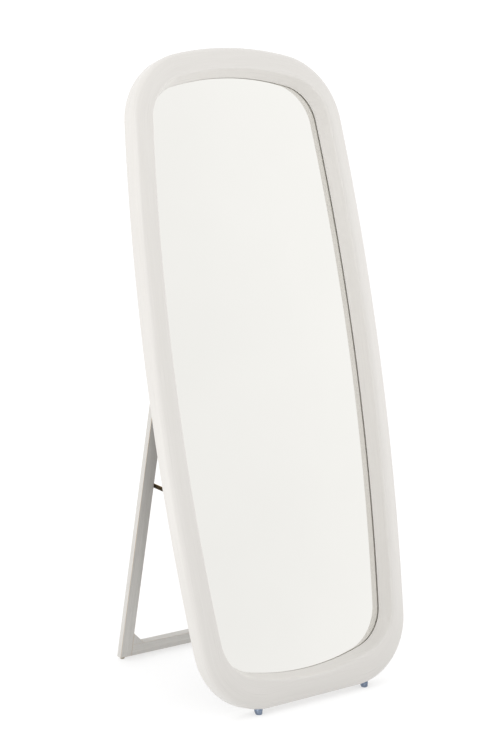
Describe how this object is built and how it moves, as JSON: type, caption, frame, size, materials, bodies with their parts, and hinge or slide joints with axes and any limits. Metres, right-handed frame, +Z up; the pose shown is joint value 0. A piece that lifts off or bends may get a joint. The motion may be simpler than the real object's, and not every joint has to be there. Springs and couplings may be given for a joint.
{
  "type": "standing floor mirror",
  "caption": "Full-length floor mirror in a soft rounded off-white frame, leaning back on a fold-out ladder leg held by jack-knife stays.",
  "frame": {"origin": "on the floor, at the middle of the footprint's box", "axes": "+Z up, +Y from the glass towards the leg, +X to the right as the leg sees it; the glass faces -Y and leans back by 13 degrees"},
  "size_m": [0.6756, 0.5524, 1.5706],
  "materials": {
    "painted_frame": "matt off-white paint over wood, faint brushed grain",
    "mirror": "polished silvered glass",
    "backing": "bare hardboard",
    "washed_wood": "whitewashed, satin",
    "bare_wood": "bare beech",
    "chrome": "polished",
    "zinc_steel": "zinc plated",
    "brass": "dulled plating",
    "brown_pad": "matt"
  },
  "bodies": {
    "panel": {"frame_left": "painted_frame", "frame_right": "painted_frame", "frame_top": "painted_frame", "frame_bottom": "painted_frame", "frame_dowels": "bare_wood", "mirror_glass": "mirror", "backing_board": "backing", "board_screws": "zinc_steel", "front_glide_left": "chrome", "front_glide_right": "chrome", "hinge_panel_leaf_left": "zinc_steel", "hinge_panel_leaf_right": "zinc_steel", "hinge_pin_left": "zinc_steel", "hinge_pin_right": "zinc_steel", "hinge_panel_screws": "zinc_steel", "stay_bracket_left": "brass", "stay_bracket_right": "brass", "stay_bracket_screws": "zinc_steel", "stay_bracket_rivet_left": "brass", "stay_bracket_rivet_right": "brass"},
    "leg": {"leg_stile_left": "washed_wood", "leg_stile_right": "washed_wood", "leg_rail_top": "washed_wood", "leg_rail_bottom": "washed_wood", "leg_corner_block_left": "washed_wood", "leg_corner_block_right": "washed_wood", "leg_dowels": "bare_wood", "hinge_leg_leaf_left": "zinc_steel", "hinge_leg_leaf_right": "zinc_steel", "hinge_leg_screws": "zinc_steel", "stay_pivot_left": "brass", "stay_pivot_right": "brass", "rear_pad_left": "brown_pad", "rear_pad_right": "brown_pad"},
    "stay_front_left": {"stay_front_arm_left": "brass", "stay_front_rivet_left": "brass"},
    "stay_rear_left": {"stay_rear_arm_left": "brass", "stay_rear_rivet_left": "brass"},
    "stay_front_right": {"stay_front_arm_right": "brass", "stay_front_rivet_right": "brass"},
    "stay_rear_right": {"stay_rear_arm_right": "brass", "stay_rear_rivet_right": "brass"}
  },
  "joints": [
    {"name": "leg_fold", "type": "hinge", "parent": "panel", "child": "leg", "pos_m": [0, 0.00064, 1.00296], "axis": [-1, 0, 0], "range_deg": [0, 27.25]},
    {"name": "stay_front_left_turn", "type": "hinge", "parent": "panel", "child": "stay_front_left", "pos_m": [-0.203, -0.10772, 0.47891], "axis": [1, 0, 0], "range_deg": [0, 75.06]},
    {"name": "stay_rear_left_turn", "type": "hinge", "parent": "leg", "child": "stay_rear_left", "pos_m": [-0.2065, 0.14425, 0.48745], "axis": [-1, 0, 0], "range_deg": [0, 77.69]},
    {"name": "stay_front_right_turn", "type": "hinge", "parent": "panel", "child": "stay_front_right", "pos_m": [0.203, -0.10772, 0.47891], "axis": [1, 0, 0], "range_deg": [0, 75.06]},
    {"name": "stay_rear_right_turn", "type": "hinge", "parent": "leg", "child": "stay_rear_right", "pos_m": [0.2065, 0.14425, 0.48745], "axis": [-1, 0, 0], "range_deg": [0, 77.69]}
  ],
  "couplings": [
    {"joint": "stay_front_left_turn", "follows": "leg_fold", "ratio": 2.7544},
    {"joint": "stay_rear_left_turn", "follows": "leg_fold", "ratio": 2.8511},
    {"joint": "stay_front_right_turn", "follows": "leg_fold", "ratio": 2.7544},
    {"joint": "stay_rear_right_turn", "follows": "leg_fold", "ratio": 2.8511}
  ]
}
